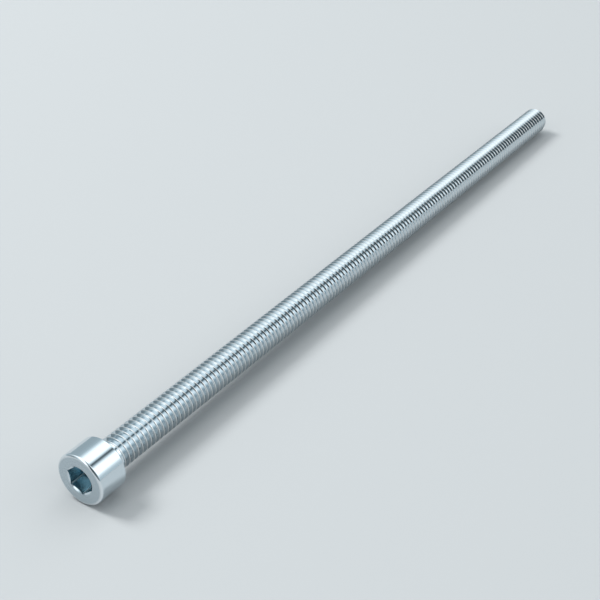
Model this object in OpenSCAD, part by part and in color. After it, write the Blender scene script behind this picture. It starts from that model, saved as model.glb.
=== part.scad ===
// Socket head bolt, threaded from just below its head to its end.
// One turned, forged and rolled piece of bright zinc plated steel.
// It is drawn upright, with its bearing face at z = 0 and its shank along +Z,
// and then laid down as it rests on a table: on the rim of its head and on its last crest.

/* [Overall] */
// Length of the whole bolt, from the outer face of the head to the end of the thread
overall_length = 1000; // [300:5:1050]

/* [Head] */
// Diameter of the head
head_d = 58; // [46:0.5:72]
// Height of the head, from its bearing face to its outer face
head_h = 35; // [31:0.5:50]
// Radius of the rounded edge round the outer face
face_round = 3; // [1:0.25:5]
// Radius of the small rounded edge round the bearing face
bearing_round = 1; // [0.5:0.25:2]

/* [Hexagon socket] */
// Width across the flats of the socket
socket_af = 28; // [20:0.5:34]
// Depth of the flats below the outer face
socket_depth = 22; // [10:0.5:24]
// How far the mouth of the lead-in cone stands outside the corners of the hexagon
mouth_margin = 0.3; // [0.1:0.1:1.5]
// Angle between the two sides of the lead-in cone
lead_in_angle = 120; // [60:5:130]
// Angle between the two sides of the drill point below the flats
drill_point_angle = 120; // [90:5:150]
// Turn of the hexagon round the axis, from the side on which the bolt lies
socket_turn = 51; // [0:1:59]

/* [Neck] */
// Diameter of the plain neck between head and thread
neck_d = 32; // [29:0.5:35]
// Length of the plain neck
neck_l = 8; // [4:0.5:30]
// Radius of the fillet between the neck and the bearing face
neck_fillet = 1.5; // [0.5:0.25:3]

/* [Thread] */
// Diameter over the crests of the thread
thread_d = 36; // [35:0.5:42]
// Pitch of the right-hand, single-start thread
thread_pitch = 6.6; // [6.2:0.1:8]
// Distance from the bearing face to the line on which the first crest starts, on the underside
crest_start = 0.4; // [0:0.1:5]
// Angle at which the thread rises out of the neck
run_in_angle = 30; // [20:5:45]
// Diameter of the flat end
end_d = 27; // [22:0.5:27]
// Angle of the end chamfer, from the axis
end_chamfer_angle = 45; // [30:5:60]

/* [Hidden] */

// Most triangles that the helix may take, and the sides of a turn that they leave
HELIX_TRIANGLES = 11900;
MOST_SIDES = 48;
// Roundness of the turned surfaces
TURNED_FN = 120;
// How far cutting shapes run past the surfaces that they cut
PAST = 1;

head_r = head_d / 2;
neck_r = neck_d / 2;
crest_r = thread_d / 2;
end_r = end_d / 2;
shank_l = overall_length - head_h;

// A 60 degree thread is 17/24 as deep as the sharp triangle that its pitch gives
thread_depth = 17 / 24 * thread_pitch * sqrt(3) / 2;
root_r = crest_r - thread_depth;

// The helix starts on the underside and runs one turn past the end, where it is cut off
turns = ceil((shank_l - crest_start) / thread_pitch) + 1;
turn_sides = min(MOST_SIDES, floor(HELIX_TRIANGLES / (4 * turns)));
rows = 2 * turns;

// Socket
socket_corner_r = socket_af / 2 / cos(30);
mouth_r = socket_corner_r + mouth_margin;
drill_r = socket_af / 2 - 0.2;

// Lying: the axis leans so that the bearing rim and the last whole crest reach the table together
end_chamfer_l = (crest_r - end_r) / tan(end_chamfer_angle);
last_crest = crest_start + thread_pitch * floor((shank_l - end_chamfer_l - crest_start) / thread_pitch);
rim_rise = head_r - bearing_round - crest_r;
rim_run = last_crest + bearing_round;
lean = atan(rim_rise / rim_run) + asin(bearing_round / norm([rim_rise, rim_run]));
axis_rise = crest_r * cos(lean) + last_crest * sin(lean);
// Half way between the lowest point of the outer face and the highest point of the end
middle_x = (shank_l * cos(lean) + end_r * sin(lean)
  - (head_h - face_round) * cos(lean) - (head_r - face_round) * sin(lean) - face_round) / 2;

// Place of the helix's point on one side of the turn: even rows are crests, odd rows are roots
function helix_z(side, row) = crest_start + thread_pitch * (side / turn_sides + row / 2);
function helix_r(row) = row % 2 == 0 ? crest_r : root_r;
function helix_point(side, row) =
  let (angle = 360 * side / turn_sides)
  [helix_r(row) * cos(angle), helix_r(row) * sin(angle), helix_z(side, row)];

// Number of a point. Past the last side the turn closes on the first one, a whole pitch further up
function helix_index(side, row) = side < turn_sides ? side * (rows + 1) + row : row + 2;

// The four triangles' worth of surface between two neighbouring sides, as two triangles a row
function strip(side, last_row) = [for (row = [0:last_row - 1]) each [
  [helix_index(side, row), helix_index(side, row + 1), helix_index(side + 1, row + 1)],
  [helix_index(side, row), helix_index(side + 1, row + 1), helix_index(side + 1, row)]]];

// A right-hand ridge wound round a root cylinder, closed at both ends by a fan of triangles
module helix() {
  last = turn_sides - 1;
  points = [for (side = [0:last]) for (row = [0:rows]) helix_point(side, row)];
  low = len(points);
  high = low + 1;
  hubs = [[0, 0, crest_start - PAST], [0, 0, helix_z(last, rows) + PAST]];
  sides = [for (side = [0:last]) each strip(side, side < last ? rows : rows - 2)];
  low_edge = concat([for (side = [0:last]) helix_index(side, 0)], [helix_index(0, 2), helix_index(0, 1)]);
  high_edge = concat(
    [for (side = [0:last]) helix_index(side, rows)],
    [helix_index(last, rows - 1), helix_index(last, rows - 2)]);
  ends = len(low_edge);
  low_fan = [for (i = [0:ends - 1]) [low, low_edge[i], low_edge[(i + 1) % ends]]];
  high_fan = [for (i = [0:ends - 1]) [high, high_edge[(i + 1) % ends], high_edge[i]]];
  polyhedron(concat(points, hubs), concat(sides, low_fan, high_fan), convexity = 10);
}

// Outline that the helix is cut to: it rises out of the neck and is chamfered at the end
module thread_outline() {
  clear_r = crest_r + PAST;
  buried_r = neck_r - PAST;
  run_in = tan(run_in_angle);
  rotate_extrude($fn = TURNED_FN)
    polygon([
      [0, neck_l - PAST / run_in],
      [buried_r, neck_l - PAST / run_in],
      [clear_r, neck_l + (clear_r - neck_r) / run_in],
      [clear_r, shank_l - (clear_r - end_r) / tan(end_chamfer_angle)],
      [end_r, shank_l],
      [0, shank_l]]);
}

// Half section of the head, between the outer face at -head_h and the bearing face at 0
module head_section() {
  translate([0, -head_h]) square([head_r - face_round, head_h]);
  translate([0, face_round - head_h]) square([head_r, head_h - face_round - bearing_round]);
  translate([0, -head_h / 2]) square([head_r - bearing_round, head_h / 2]);
  translate([head_r - face_round, face_round - head_h]) circle(r = face_round, $fn = 48);
  translate([head_r - bearing_round, -bearing_round]) circle(r = bearing_round, $fn = 48);
}

// Half section of the neck, with its fillet, and a taper that ends inside the thread
module neck_section() {
  translate([0, -PAST]) square([neck_r, neck_l + PAST]);
  polygon([[0, neck_l], [neck_r, neck_l], [root_r - PAST, neck_l + neck_r - root_r + PAST], [0, neck_l + neck_r]]);
  difference() {
    translate([0, -PAST]) square([neck_r + neck_fillet, neck_fillet + PAST]);
    translate([neck_r + neck_fillet, neck_fillet]) circle(r = neck_fillet, $fn = 48);
  }
}

// Hexagon socket with its lead-in cone and its drill point
module socket() {
  lead_in = tan(lead_in_angle / 2);
  drill_l = drill_r / tan(drill_point_angle / 2);
  translate([0, 0, -head_h]) {
    rotate([0, 0, socket_turn])
      translate([0, 0, -PAST]) cylinder(h = socket_depth + PAST, r = socket_corner_r, $fn = 6);
    translate([0, 0, -PAST])
      cylinder(h = mouth_r / lead_in + PAST, r1 = mouth_r + PAST * lead_in, r2 = 0, $fn = TURNED_FN);
    translate([0, 0, socket_depth - PAST])
      cylinder(h = PAST, r = drill_r, $fn = TURNED_FN);
    translate([0, 0, socket_depth])
      cylinder(h = drill_l, r1 = drill_r, r2 = 0, $fn = TURNED_FN);
  }
}

// The bolt upright, in its natural frame
module upright_bolt() {
  difference() {
    union() {
      rotate_extrude($fn = TURNED_FN) {
        head_section();
        neck_section();
      }
      intersection() {
        helix();
        thread_outline();
      }
    }
    socket();
  }
}

// The whole bolt, lying on the table with its end towards +X
module bolt() color("silver")
  translate([-middle_x, 0, axis_rise]) rotate([0, 90 + lean, 0]) upright_bolt();

bolt();
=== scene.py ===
# %% [markdown]
# # A long socket head bolt in zinc plated steel
#
# This lesson dresses one CAD part: a bolt a metre long that lies on a table.
# The CAD model gives every size. What Blender adds is the fine form of the
# thread, the rounded edges that catch the light, and the bright zinc.

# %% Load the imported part
from math import asin, atan, ceil, cos, degrees, floor, hypot, pi, radians, sin, sqrt, tan

import bmesh
import bpy
from mathutils import Matrix, Vector


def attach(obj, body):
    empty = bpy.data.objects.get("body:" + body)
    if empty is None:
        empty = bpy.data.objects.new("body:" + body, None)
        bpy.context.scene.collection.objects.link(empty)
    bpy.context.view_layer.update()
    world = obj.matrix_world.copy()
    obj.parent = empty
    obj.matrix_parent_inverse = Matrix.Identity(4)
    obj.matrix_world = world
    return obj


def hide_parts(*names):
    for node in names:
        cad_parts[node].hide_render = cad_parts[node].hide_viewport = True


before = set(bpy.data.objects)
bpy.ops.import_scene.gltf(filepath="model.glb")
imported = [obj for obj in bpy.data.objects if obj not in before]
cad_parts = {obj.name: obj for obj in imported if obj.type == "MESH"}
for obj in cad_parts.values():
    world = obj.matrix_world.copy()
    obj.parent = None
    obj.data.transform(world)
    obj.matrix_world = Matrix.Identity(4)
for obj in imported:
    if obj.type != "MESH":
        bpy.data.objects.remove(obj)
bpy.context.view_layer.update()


# %% [markdown]
# ## Sizes
#
# The real bolt is one piece: a forged head, a short neck and a rolled thread.
# Its sizes are the driving values of the CAD source, so they are written here
# once more, in metres. A script could also measure them on the CAD mesh, but
# that mesh is coarse, and a thread that starts half a turn off would show.
# Only the plain band between neck and thread is finer than the source, and
# has its sizes here alone.

# %% Driving sizes, in metres
MM = 0.001

OVERALL_LENGTH = 1000 * MM
HEAD_R = 29 * MM
HEAD_H = 35 * MM
FACE_ROUND = 3 * MM
BEARING_ROUND = 1 * MM

SOCKET_AF = 28 * MM
SOCKET_DEPTH = 22 * MM
MOUTH_MARGIN = 0.3 * MM
LEAD_IN_HALF_ANGLE = radians(60)
DRILL_HALF_ANGLE = radians(60)
SOCKET_TURN = radians(51)

NECK_R = 16 * MM
NECK_L = 8 * MM
NECK_FILLET = 1.5 * MM

BAND_R = 17.5 * MM
BAND_L = 2.2 * MM

CREST_R = 18 * MM
PITCH = 6.6 * MM
CREST_START = 0.4 * MM
END_R = 13.5 * MM
END_CHAMFER_ANGLE = radians(45)

# A 60 degree thread is 17/24 as deep as the sharp triangle that its pitch gives
THREAD_DEPTH = 17 / 24 * PITCH * sqrt(3) / 2
ROOT_R = CREST_R - THREAD_DEPTH
SHANK_L = OVERALL_LENGTH - HEAD_H
print("shank", SHANK_L / MM, "mm, thread depth", round(THREAD_DEPTH / MM, 3), "mm")

# %% [markdown]
# ## How the bolt lies
#
# A bolt put down on a table rests on the rim of its head and on its last
# crest, so its axis leans a little. A physics run could find that lean, but
# two contacts in one plane give it exactly. Every shape below is drawn
# upright, with the bearing face at z = 0 and the thread along +Z, and is laid
# down by one matrix at the end. That keeps the numbers of each shape simple.

# %% Lay the upright bolt down
end_chamfer_l = (CREST_R - END_R) / tan(END_CHAMFER_ANGLE)
last_crest = CREST_START + PITCH * floor((SHANK_L - end_chamfer_l - CREST_START) / PITCH)
rim_rise = HEAD_R - BEARING_ROUND - CREST_R
rim_run = last_crest + BEARING_ROUND
LEAN = atan(rim_rise / rim_run) + asin(BEARING_ROUND / hypot(rim_rise, rim_run))
AXIS_RISE = CREST_R * cos(LEAN) + last_crest * sin(LEAN)
MIDDLE_X = (
    SHANK_L * cos(LEAN) + END_R * sin(LEAN)
    - (HEAD_H - FACE_ROUND) * cos(LEAN)
    - (HEAD_R - FACE_ROUND) * sin(LEAN) - FACE_ROUND
) / 2

LAID_TURN = radians(90) + LEAN
LAID_PLACE = Vector((-MIDDLE_X, 0, AXIS_RISE))
laid_down = Matrix.Translation(LAID_PLACE) @ Matrix.Rotation(LAID_TURN, 4, "Y")
print("lean", round(degrees(LEAN), 3), "degrees")
print("axis", round(AXIS_RISE / MM, 2), "mm up at the bearing face")

# %% [markdown]
# ## The camera
#
# The camera stands at the photograph's viewing angle: on the head's side of
# the bolt, looking along it and 33 degrees down. It could be placed by eye,
# but a long thin bolt shows every error in perspective. So a camera was
# fitted to the head, the sides and the end, and these are its numbers.

# %% Camera
CAMERA_PLACE = Vector((-1.15524, -0.70718, 0.85852))
CAMERA_LOOK = Vector((0.688053, 0.472325, -0.550901))
SENSOR = 36.0
FOCAL_PIXELS = 1291.9
PHOTO_PIXELS = 600
NEAREST = 0.01

scene = bpy.context.scene
camera = bpy.data.objects.new("camera", bpy.data.cameras.new("camera"))
scene.collection.objects.link(camera)
camera.location = CAMERA_PLACE
camera.rotation_euler = CAMERA_LOOK.to_track_quat("-Z", "Y").to_euler()
camera.data.sensor_width = SENSOR
camera.data.lens = FOCAL_PIXELS / PHOTO_PIXELS * SENSOR
camera.data.clip_start = NEAREST
scene.camera = camera
print("lens", round(camera.data.lens, 2), "mm")

# %% [markdown]
# ## Making solids from lists of points
#
# Each solid of the bolt is either turned on a lathe or wound as a screw, so
# plain lists of points and faces describe it exactly. Blender's Screw
# modifier could do both, but it can't keep a crest flat and a root round and
# also close the ends, and the cuts below need closed solids.

# %% Helpers: a mesh object, a turned solid and an arc
TURNED_SIDES = 128


def solid(name, points, faces):
    """A new object from points and faces."""
    mesh = bpy.data.meshes.new(name)
    mesh.from_pydata(points, [], faces)
    mesh.validate()
    made = bpy.data.objects.new(name, mesh)
    scene.collection.objects.link(made)
    print(name, len(mesh.vertices), "points", len(mesh.polygons), "faces")
    return made


def turned(name, outline):
    """A solid turned from (radius, height) points that start and end on the axis, going up."""
    rings = outline[1:-1]
    points = [(0, 0, outline[0][1]), (0, 0, outline[-1][1])]
    for radius, height in rings:
        for side in range(TURNED_SIDES):
            angle = 2 * pi * side / TURNED_SIDES
            points.append((radius * cos(angle), radius * sin(angle), height))

    def at(ring, side):
        return 2 + ring * TURNED_SIDES + side % TURNED_SIDES

    faces = []
    top = len(rings) - 1
    for side in range(TURNED_SIDES):
        after = side + 1
        faces.append((0, at(0, after), at(0, side)))
        faces.append((1, at(top, side), at(top, after)))
        for ring in range(top):
            faces.append((
                at(ring, side), at(ring, after), at(ring + 1, after), at(ring + 1, side),
            ))
    return solid(name, points, faces)


def arc(centre_r, centre_z, radius, start, stop, steps):
    """Points of an arc in the half section, from angle start to stop in degrees."""
    angles = [radians(start + (stop - start) * i / steps) for i in range(steps + 1)]
    return [(centre_r + radius * cos(a), centre_z + radius * sin(a)) for a in angles]


# %% [markdown]
# ## Cutting and joining
#
# A maker forges and turns the blank, punches the socket and rolls the thread.
# Solids can be joined face by face, but Boolean modifiers work as the maker
# does: the wound ridge is kept only where it lies inside a turned outline, it
# is joined to the head, and the socket is taken out. The manifold solver is
# exact enough for closed solids and takes about a second.

# %% Helper: one Boolean step, applied
def combine(target, tool, operation):
    """Applies a Boolean of target with tool, and removes the tool."""
    step = target.modifiers.new(operation.lower(), "BOOLEAN")
    step.operation = operation
    step.solver = "MANIFOLD"
    step.object = tool
    graph = bpy.context.evaluated_depsgraph_get()
    made = bpy.data.meshes.new_from_object(target.evaluated_get(graph))
    target.modifiers.clear()
    target.data = made
    bpy.data.objects.remove(tool)
    print(operation.lower(), "->", len(made.polygons), "faces")
    return target


# %% [markdown]
# ## Head and neck
#
# The head is forged and then turned: its side is smooth, a wide round runs
# into the flat face, and a small one runs into the bearing face. Under it a
# fillet leads into a short plain neck, and the neck ends in a narrow band, a
# little thinner than the crests, where the thread's rolls stop. It shows as a
# pale strip behind the head. A bevelled cylinder could stand for the head,
# but a turned outline gives each edge its own radius. The taper behind the
# band lies inside the thread, so it never shows.

# %% Head and neck
FACE_STEPS = 10
SMALL_STEPS = 5
# How far a hidden end or a cutter runs past the surface that it meets
TUCK = 1 * MM

band_end = NECK_L + BAND_L
taper_end = band_end + (BAND_R - ROOT_R) / 2
head = turned("head", [
    (0, -HEAD_H),
    *arc(HEAD_R - FACE_ROUND, FACE_ROUND - HEAD_H, FACE_ROUND, -90, 0, FACE_STEPS),
    *arc(HEAD_R - BEARING_ROUND, -BEARING_ROUND, BEARING_ROUND, 0, 90, SMALL_STEPS),
    *arc(NECK_R + NECK_FILLET, NECK_FILLET, NECK_FILLET, 270, 180, SMALL_STEPS),
    (NECK_R, NECK_L - (BAND_R - NECK_R)),
    (BAND_R, NECK_L),
    (BAND_R, band_end),
    (ROOT_R - TUCK, taper_end),
    (0, taper_end),
])

# %% [markdown]
# ## The thread
#
# A rolled 60 degree thread has a narrow flat crest with worn shoulders,
# straight flanks and a round root. Separate rings or a bump texture would be
# cheaper, but rings don't climb and a bump leaves the outline smooth. So one
# pitch of the profile is wound up the axis: column after column of points,
# each a little further round and up. The last point of a pitch joins the
# first one of the next turn, which makes one seamless skin.

# %% Profile of one pitch
# A 60 degree thread's crest is an eighth of the pitch wide
CREST_HALF = PITCH / 16
SHOULDER = 0.12 * MM
FLANK_SLOPE = tan(radians(30))
# The root's round touches both flanks: its radius is a sixth of the sharp triangle's height
root_round = PITCH * sqrt(3) / 12
root_centre_r = ROOT_R + root_round
ROOT_ANGLES = (-60, -30, 0, 30, 60)


def root_point(angle):
    """A point of the round root, angle degrees from its bottom."""
    return (
        PITCH / 2 + root_round * sin(radians(angle)),
        root_centre_r - root_round * cos(radians(angle)),
    )


# (distance along the axis from the crest line, radius)
shoulder_in = (CREST_HALF - SHOULDER, CREST_R)
shoulder_out = (CREST_HALF + SHOULDER * FLANK_SLOPE, CREST_R - SHOULDER)
profile = [
    (-shoulder_in[0], shoulder_in[1]),
    shoulder_in,
    shoulder_out,
    *[root_point(angle) for angle in ROOT_ANGLES],
    (PITCH - shoulder_out[0], shoulder_out[1]),
]
print("profile:", [(round(z / MM, 2), round(r / MM, 2)) for z, r in profile])


# %% Wind the profile up the axis
TURN_STEPS = 64


def fan(hub, edge):
    """Triangles from one point to the closed line of an edge."""
    return [(hub, edge[i], edge[(i + 1) % len(edge)]) for i in range(len(edge))]


def thread_helix():
    """A right-hand ridge on a core, closed at both ends by fans of triangles."""
    turns = ceil((SHANK_L - CREST_START) / PITCH) + 1
    columns = turns * TURN_STEPS
    last = len(profile) - 1
    points = []
    for column in range(columns + 1):
        angle = 2 * pi * column / TURN_STEPS
        climb = CREST_START + PITCH * column / TURN_STEPS
        points += [(r * cos(angle), r * sin(angle), climb + z) for z, r in profile]

    def at(column, place):
        return column * len(profile) + place

    faces = [
        (at(c, p), at(c + 1, p), at(c + 1, p + 1), at(c, p + 1))
        for c in range(columns)
        for p in range(last)
    ]
    for c in range(columns - TURN_STEPS):
        above = c + TURN_STEPS
        faces.append((at(c, last), at(c + 1, last), at(above + 1, 0), at(above, 0)))

    low = [at(0, p) for p in range(1, last + 1)]
    low += [at(c, 0) for c in range(TURN_STEPS, -1, -1)]
    high = [at(c, last) for c in range(columns - TURN_STEPS, columns + 1)]
    high += [at(columns, p) for p in range(last - 1, -1, -1)]
    faces += fan(len(points), low) + fan(len(points) + 1, high)
    points += [(0, 0, CREST_START - PITCH), (0, 0, CREST_START + PITCH * (turns + 1))]
    return solid("thread", points, faces)


thread = thread_helix()

# %% Outline of the rolled length: from the plain band to the chamfered end
CLEAR_R = CREST_R + TUCK
rolled_length = turned("rolled_length", [
    (0, NECK_L),
    (BAND_R - TUCK, NECK_L),
    (CLEAR_R, band_end + TUCK),
    (CLEAR_R, SHANK_L - (CLEAR_R - END_R) / tan(END_CHAMFER_ANGLE)),
    (END_R, SHANK_L),
    (0, SHANK_L),
])
combine(thread, rolled_length, "INTERSECT")

# %% [markdown]
# ## The socket
#
# The hexagon is punched after a drill has opened it, which leaves a pointed
# bottom, and a cone at the mouth leads the key in. A worn punch has no sharp
# corners: each one here is a flat half a millimetre wide, which catches the
# light as a thin line. A bevel on the finished socket could give the same
# flats, but a punch that already has them keeps the cut simple.

# %% Hexagon punch, lead-in cone and drill point
CORNER_FLAT = 0.5 * MM
DRILL_MARGIN = 0.2 * MM
corner_r = SOCKET_AF / 2 / cos(radians(30))
mouth_r = corner_r + MOUTH_MARGIN
drill_r = SOCKET_AF / 2 - DRILL_MARGIN
socket_floor = SOCKET_DEPTH - HEAD_H


def hexagon_punch():
    """A hexagonal prism with a small flat across each corner."""
    inset = corner_r - CORNER_FLAT / cos(radians(30))
    ring = []
    for corner in range(6):
        middle = SOCKET_TURN + corner * pi / 3
        for angle in (middle - radians(30), middle + radians(30)):
            ring.append((
                inset * cos(middle) + CORNER_FLAT * cos(angle),
                inset * sin(middle) + CORNER_FLAT * sin(angle),
            ))
    count = len(ring)
    points = [(x, y, -HEAD_H - TUCK) for x, y in ring] + [(x, y, socket_floor) for x, y in ring]
    faces = [tuple(reversed(range(count))), tuple(range(count, 2 * count))]
    for i in range(count):
        after = (i + 1) % count
        faces.append((i, after, count + after, count + i))
    return solid("hexagon_punch", points, faces)


lead_in_slope = tan(LEAD_IN_HALF_ANGLE)
lead_in_cone = turned("lead_in_cone", [
    (0, -HEAD_H - TUCK),
    (mouth_r + TUCK * lead_in_slope, -HEAD_H - TUCK),
    (0, -HEAD_H + mouth_r / lead_in_slope),
])
drill_point = turned("drill_point", [
    (0, socket_floor - TUCK),
    (drill_r, socket_floor - TUCK),
    (drill_r, socket_floor),
    (0, socket_floor + drill_r / tan(DRILL_HALF_ANGLE)),
])

# %% Join and cut
bolt = combine(head, thread, "UNION")
for cutter in (hexagon_punch(), lead_in_cone, drill_point):
    combine(bolt, cutter, "DIFFERENCE")
bolt.name = "bolt_dressed"
bolt.data.name = "bolt_dressed"

# %% [markdown]
# ## Edges
#
# Rolled and turned steel has crisp edges between smooth surfaces. Bevels on
# every edge would double the mesh and hardly show, so only the normals are
# tuned: faces are smooth shaded, edges sharper than a limit stay crisp, and
# weighted normals keep the flanks and the flat faces flat right up to their
# rounded edges.

# %% Lay down, smooth and keep the crisp edges
CRISP_ANGLE = radians(28)


def crisp_edges(piece, limit):
    """Shades a piece smooth, apart from the edges that turn by more than limit."""
    work = bmesh.new()
    work.from_mesh(piece.data)
    for face in work.faces:
        face.smooth = True
    for edge in work.edges:
        edge.smooth = edge.is_manifold and edge.calc_face_angle(0) < limit
    crisp = sum(not edge.smooth for edge in work.edges)
    work.to_mesh(piece.data)
    work.free()
    print(piece.name, crisp, "crisp edges")


bolt.data.transform(laid_down)
crisp_edges(bolt, CRISP_ANGLE)
flat_flanks = bolt.modifiers.new("flat_flanks", "WEIGHTED_NORMAL")
flat_flanks.keep_sharp = True

triangles = sum(len(face.vertices) - 2 for face in bolt.data.polygons)
print("bolt:", triangles, "triangles")

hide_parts("bolt")
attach(bolt, "root")

# %% [markdown]
# ## Shader expressions
#
# A finish is easier to read as a formula than as a web of nodes. The first
# class below wraps one socket of a node tree. Adding or multiplying two of
# them makes the Math node, so the text of the finish stays close to the idea.
# Every other node comes from one method of the class after it.

# %% Sockets that can be added and multiplied
class Socket:
    """One output of a node, for shader maths written as Python expressions."""

    def __init__(self, tree, output):
        self.tree, self.output = tree, output

    def _math(self, operation, *values):
        settings, sockets = {"operation": operation}, dict(enumerate(values))
        return self.tree.node("ShaderNodeMath", settings, sockets)[0]

    def __add__(self, other):
        return self._math("ADD", self, other)

    def __sub__(self, other):
        return self._math("SUBTRACT", self, other)

    def __mul__(self, other):
        return self._math("MULTIPLY", self, other)

    def __truediv__(self, other):
        return self._math("DIVIDE", self, other)

    def __radd__(self, other):
        return self._math("ADD", other, self)

    def __rsub__(self, other):
        return self._math("SUBTRACT", other, self)

    def __rmul__(self, other):
        return self._math("MULTIPLY", other, self)

    def __rtruediv__(self, other):
        return self._math("DIVIDE", other, self)

    def root(self):
        return self._math("SQRT", self)


class Outputs:
    """The outputs of a node, picked by name or number."""

    def __init__(self, tree, made):
        self.tree, self.made = tree, made

    def __getitem__(self, key):
        return Socket(self.tree, self.made.outputs[key])


# %% A node tree that is filled through one method
class Finish:
    """The nodes of a material or a world."""

    def __init__(self, owner):
        owner.use_nodes = True
        self.nodes, self.links = owner.node_tree.nodes, owner.node_tree.links
        self.nodes.clear()

    def node(self, kind, settings, sockets):
        """Makes a node: its settings first, then the values or links of its sockets."""
        made = self.nodes.new(kind)
        for name, value in settings.items():
            if name == "stops":
                stops = made.color_ramp.elements
                while len(stops) < len(value):
                    stops.new(1.0)
                for stop, (place, colour) in zip(stops, value):
                    stop.position, stop.color = place, colour
            else:
                setattr(made, name, value)
        for name, value in sockets.items():
            if isinstance(value, Socket):
                self.links.new(value.output, made.inputs[name])
            else:
                made.inputs[name].default_value = value
        return Outputs(self, made)

    def colours(self, mask, first, second):
        """Colour first where mask is 0, second where it is 1."""
        return self.node(
            "ShaderNodeMix",
            {"data_type": "RGBA", "clamp_factor": True},
            {0: mask, 6: first, 7: second},
        )[2]

    def step(self, value, low, high):
        """A smooth step from 0 at low to 1 at high."""
        return self.node(
            "ShaderNodeMapRange",
            {"interpolation_type": "SMOOTHSTEP"},
            {"Value": value, "From Min": low, "From Max": high},
        )[0]

    def clouds(self, vector, scale, detail, roughness):
        """Soft noise around 0.5."""
        return self.node(
            "ShaderNodeTexNoise",
            {},
            {"Vector": vector, "Scale": scale, "Detail": detail, "Roughness": roughness},
        )["Fac"]

    def lines(self, place, scale, detail):
        """Noise along one coordinate, for marks that a tool leaves."""
        return self.node(
            "ShaderNodeTexNoise",
            {"noise_dimensions": "1D"},
            {"W": place, "Scale": scale, "Detail": detail},
        )["Fac"]


# %% [markdown]
# ## Zinc on steel
#
# Bright zinc plating is a thin metal skin with a cold blue cast from its
# passivation. It clouds a little from place to place. It is duller on the
# rolled thread than on the turned head. The socket is painted darker, as
# painted shade in the recess. Handling rubs the crests to a warmer grey, and
# their colour is painted lighter too, a painted highlight along each crest.
# The head's rim is painted brighter, a painted highlight on its round, and
# the socket's corners get a painted highlight line. The face and the end
# keep the fine rings of the tool that faced them. Textures could come from
# painted images, but the places of all these marks follow from the shape,
# so the shader first turns its point back upright and works with radius and
# height.

# %% Upright coordinates of the shaded point
plating = bpy.data.materials.new("zinc_plated_steel")
zinc = Finish(plating)
laid = zinc.node("ShaderNodeTexCoord", {}, {})["Object"]
upright = zinc.node(
    "ShaderNodeMapping",
    {"vector_type": "TEXTURE"},
    {"Vector": laid, "Location": LAID_PLACE, "Rotation": (0, LAID_TURN, 0)},
)[0]
parts = zinc.node("ShaderNodeSeparateXYZ", {}, {0: upright})
across_x, across_y, height = parts["X"], parts["Y"], parts["Z"]
radius = (across_x * across_x + across_y * across_y).root()
print("upright coordinates:", len(zinc.nodes), "nodes")


# %% Where each mark belongs
def fade(value, edge, none, full):
    """A mask from 0 to 1 between two distances past an edge, none and full, in millimetres."""
    return zinc.step(value, edge + none * MM, edge + full * MM)


threaded = fade(height, band_end, 0, 2)
crest = fade(radius, CREST_R, -0.3, -0.1) * fade(height, NECK_L, 0, 2)
face = 1 - fade(height, -HEAD_H, 0.05, 0.6)
end = fade(height, SHANK_L, -0.3, -0.02)
# Where the head's rounded rim gets its painted highlight
rim = fade(radius, HEAD_R, -3.4, -2.4) * (1 - fade(height, -HEAD_H, 1.2, 2.4))
# The socket's painted shade and roughness keep below its mouth and fade out past the drill's
# edge
in_socket = (1 - zinc.step(radius, corner_r, mouth_r)) * (1 - fade(height, socket_floor, 1, 3))
in_socket = in_socket * fade(height, -HEAD_H, 0.9, 1.5)
# Where each socket corner gets a painted highlight line
corner_line = in_socket * fade(radius, corner_r, -0.6, -0.3)
print("with the masks:", len(zinc.nodes), "nodes")

# %% Colour, roughness and fine relief
CLOUDED = (0.65, 0.73, 0.78, 1)
CLEAR = (0.71, 0.78, 0.82, 1)
ROLLED = (0.59, 0.66, 0.70, 1)
WORN_CREST_AND_HIGHLIGHT = (0.82, 0.79, 0.76, 1)
FACED = (0.46, 0.53, 0.57, 1)
RIM_HIGHLIGHT = (0.92, 0.93, 0.94, 1)
SOCKET_SHADE_TEAL = (0.34, 0.53, 0.60, 1)
CORNER_GLINT = (0.90, 0.91, 0.91, 1)
BUMP_STRENGTH = 0.12
BUMP_DEPTH = 0.02 * MM

# Scales are in marks to the metre
broad = zinc.clouds(upright, scale=38.0, detail=3.0, roughness=0.55)
fine = zinc.clouds(upright, scale=420.0, detail=4.0, roughness=0.6)
rings = zinc.lines(radius, scale=2600.0, detail=2.0)
bands = zinc.lines(height, scale=900.0, detail=2.0)

# Each mark is laid over the colour before it, by the share that its mask is given
colour = zinc.colours(broad, CLOUDED, CLEAR)
for mark, tone in (
    (threaded * 0.9, ROLLED),
    # Crests: rubbed to a warmer grey, and painted lighter as a painted highlight on each crest
    # line
    (crest * 0.7, WORN_CREST_AND_HIGHLIGHT),
    ((face + end) * 0.85, FACED),
    # Rim: painted highlight, a brighter crescent on the head's round
    (rim * 0.4, RIM_HIGHLIGHT),
    # Socket: painted shade, a darker teal inside the recess
    (in_socket * 0.8, SOCKET_SHADE_TEAL),
    # Socket corners: painted highlight, a light line along each corner
    (corner_line * 0.7, CORNER_GLINT),
):
    colour = zinc.colours(mark, colour, tone)

# A nearly polished base, and what each mark adds to it
rough = 0.06 + 0.04 * broad + 0.01 * fine + 0.24 * crest
rough = rough + (face + end) * (0.12 + 0.10 * rings) + 0.14 * in_socket + 0.3 * corner_line

relief = 0.06 * fine + 0.1 * bands + (face + end) * rings
bump = zinc.node(
    "ShaderNodeBump",
    {},
    {"Strength": BUMP_STRENGTH, "Distance": BUMP_DEPTH, "Height": relief},
)[0]

surface = zinc.node(
    "ShaderNodeBsdfPrincipled",
    {},
    {"Base Color": colour, "Metallic": 1.0, "Roughness": rough, "Normal": bump},
)[0]
zinc.node("ShaderNodeOutputMaterial", {}, {"Surface": surface})
bolt.data.materials.clear()
bolt.data.materials.append(plating)
print("plating:", len(zinc.nodes), "nodes")

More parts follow.
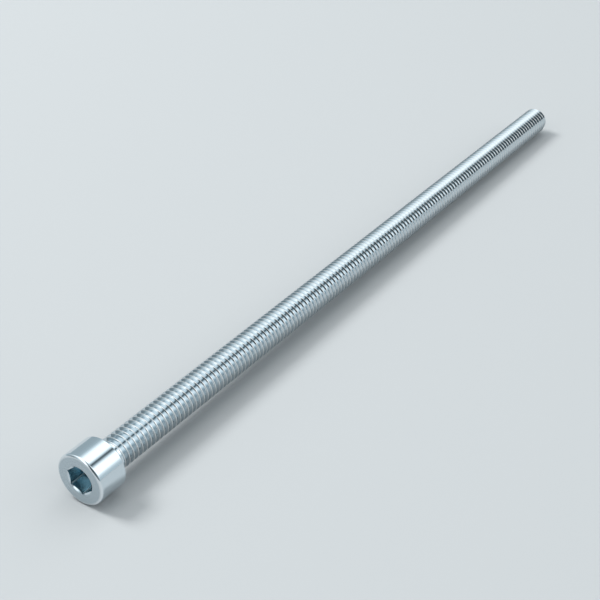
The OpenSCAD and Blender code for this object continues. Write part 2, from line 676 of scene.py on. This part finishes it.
# %% [markdown]
# ## Floor
#
# The bolt lies on a plain pale floor. The floor takes the soft shadow, and
# because it is pale, the underside of the thread is lit from below. A curved
# backdrop could hide the floor's far edge, but the camera looks down and
# sees only the floor, so one wide flat sheet does the same.

# %% Floor
FLOOR_HALF = 40.0
FLOOR_COLOUR = (0.45, 0.465, 0.472, 1)
floor_sheet = solid("floor", [
    (-FLOOR_HALF, -FLOOR_HALF, 0), (FLOOR_HALF, -FLOOR_HALF, 0),
    (FLOOR_HALF, FLOOR_HALF, 0), (-FLOOR_HALF, FLOOR_HALF, 0),
], [(0, 1, 2, 3)])

floor_material = bpy.data.materials.new("floor")
paper = Finish(floor_material)
matt = paper.node("ShaderNodeBsdfDiffuse", {}, {"Color": FLOOR_COLOUR})[0]
paper.node("ShaderNodeOutputMaterial", {}, {"Surface": matt})
floor_sheet.data.materials.append(floor_material)

# %% [markdown]
# ## Light
#
# Metal shows what stands round it, so the studio is drawn with the metal in
# mind. A picture of a real studio could stand round the bolt, but a tent of
# a few plain panels can be tuned stripe by stripe. It has three zones, one
# after the other along the bolt. Beyond its end hang two long bright panels,
# with a narrow gap between them that becomes the thin dark line along head
# and thread. Beside the camera two softer ones light the thread's flanks.
# Behind the camera the tent is dark in front and bright past the zenith,
# which draws the white crescent on the head's rounded edge and the dark half
# of each valley. One soft lamp, high behind the bolt, lights the floor and
# throws the shadow towards the camera. It is hidden from mirror rays, because
# the metal would show it as specks.

# %% The three zones of the tent: brightness by angle round the bolt
# From 0 degrees, level in front, over 90, the zenith, to 180, level behind
BEYOND_END = [
    (0, 0.66), (8, 0.68), (15, 0.92), (22, 1.38), (32, 1.78), (44, 1.78), (54, 1.18),
    (61, 0.45), (65, 0.14), (69, 0.16), (73, 0.74), (79, 1.36), (88, 1.66), (105, 1.60),
    (114, 1.30), (122, 0.86), (130, 0.58), (142, 0.50), (160, 0.47), (180, 0.47),
]
BESIDE_CAMERA = [
    (0, 0.40), (20, 0.40), (34, 0.68), (46, 1.40), (58, 1.52), (68, 1.08), (78, 0.52),
    (88, 0.46), (97, 1.02), (108, 1.55), (120, 1.80), (134, 1.52), (146, 1.03), (158, 0.64),
    (180, 0.42),
]
BEHIND_CAMERA = [
    (0, 0.20), (12, 0.12), (64, 0.10), (76, 0.30), (86, 1.00), (100, 1.58), (118, 1.42),
    (132, 1.14), (146, 0.80), (160, 0.52), (172, 0.34), (180, 0.30),
]
BRIGHTEST = 1.8
HALF_TURN = 180
# How much colder than white a panel gets as it darkens
COLD = 0.22
print("tent:", len(BEYOND_END) + len(BESIDE_CAMERA) + len(BEHIND_CAMERA), "stops")

# %% Directions round the bolt
room = bpy.data.worlds.new("room")
scene.world = room
air = Finish(room)
look = air.node("ShaderNodeTexCoord", {}, {})["Generated"]
ways = air.node("ShaderNodeSeparateXYZ", {}, {0: look})
along, aside, up = ways["X"], ways["Y"], ways["Z"]
around = air.node("ShaderNodeMath", {"operation": "ARCTAN2"}, {0: up, 1: 0 - aside})[0] / pi


def panels(levels, angle_round):
    """One zone of the tent, as a ramp over the angle round the bolt."""
    stops = []
    for angle, level in levels:
        part = level / BRIGHTEST
        cold = COLD * (1 - part)
        stops.append((angle / HALF_TURN, (part * (1 - cold), part, part * (1 + cold / 2), 1)))
    return air.node("ShaderNodeValToRGB", {"stops": stops}, {"Fac": angle_round})["Color"]


# %% The tent
# A direction's x runs from -1, straight back, to 1, and the zones meet between these values
BEHIND_TO_BESIDE = (-0.46, -0.24)
BESIDE_TO_BEYOND = (-0.14, 0.06)
# The zone behind holds as written at x = -DRAWN_AT, and its stripes spread towards the side
DRAWN_AT = 0.8
SPREAD = 1.3
SPREAD_START = 0.73
# Almost straight back its stripes stand further round, which darkens the valleys
STRAIGHT_BACK = (-0.98, -0.86)
BACK_SHIFT = 0.12

straight_back = 1 - air.step(along, *STRAIGHT_BACK)
spread = (along + DRAWN_AT) * (SPREAD * around - SPREAD_START)
behind = panels(BEHIND_CAMERA, around + spread - BACK_SHIFT * straight_back)
beside = panels(BESIDE_CAMERA, around)
beyond = panels(BEYOND_END, around)
near = air.colours(air.step(along, *BEHIND_TO_BESIDE), behind, beside)
tent = air.colours(air.step(along, *BESIDE_TO_BEYOND), near, beyond)
glow = air.node("ShaderNodeBackground", {}, {"Color": tent, "Strength": BRIGHTEST})[0]
air.node("ShaderNodeOutputWorld", {}, {"Surface": glow})
print("room:", len(air.nodes), "nodes")


# %% The soft lamp behind the bolt
def soft_lamp(name, direction, distance, size, radiance):
    """A square soft lamp that shines at the middle of the bolt; radiance 1 is plain white."""
    lamp = bpy.data.lights.new(name, "AREA")
    lamp.size = size
    lamp.energy = radiance * pi * size * size
    made = bpy.data.objects.new(name, lamp)
    scene.collection.objects.link(made)
    towards = Vector(direction).normalized()
    made.location = towards * distance
    made.rotation_euler = towards.to_track_quat("Z", "Y").to_euler()
    made.visible_camera = False
    made.visible_glossy = False
    print(name, round(lamp.energy), "W")


soft_lamp("key_lamp", direction=(-0.15, 0.63, 0.76), distance=9.0, size=2.8, radiance=25.0)

scene.view_settings.view_transform = "Standard"
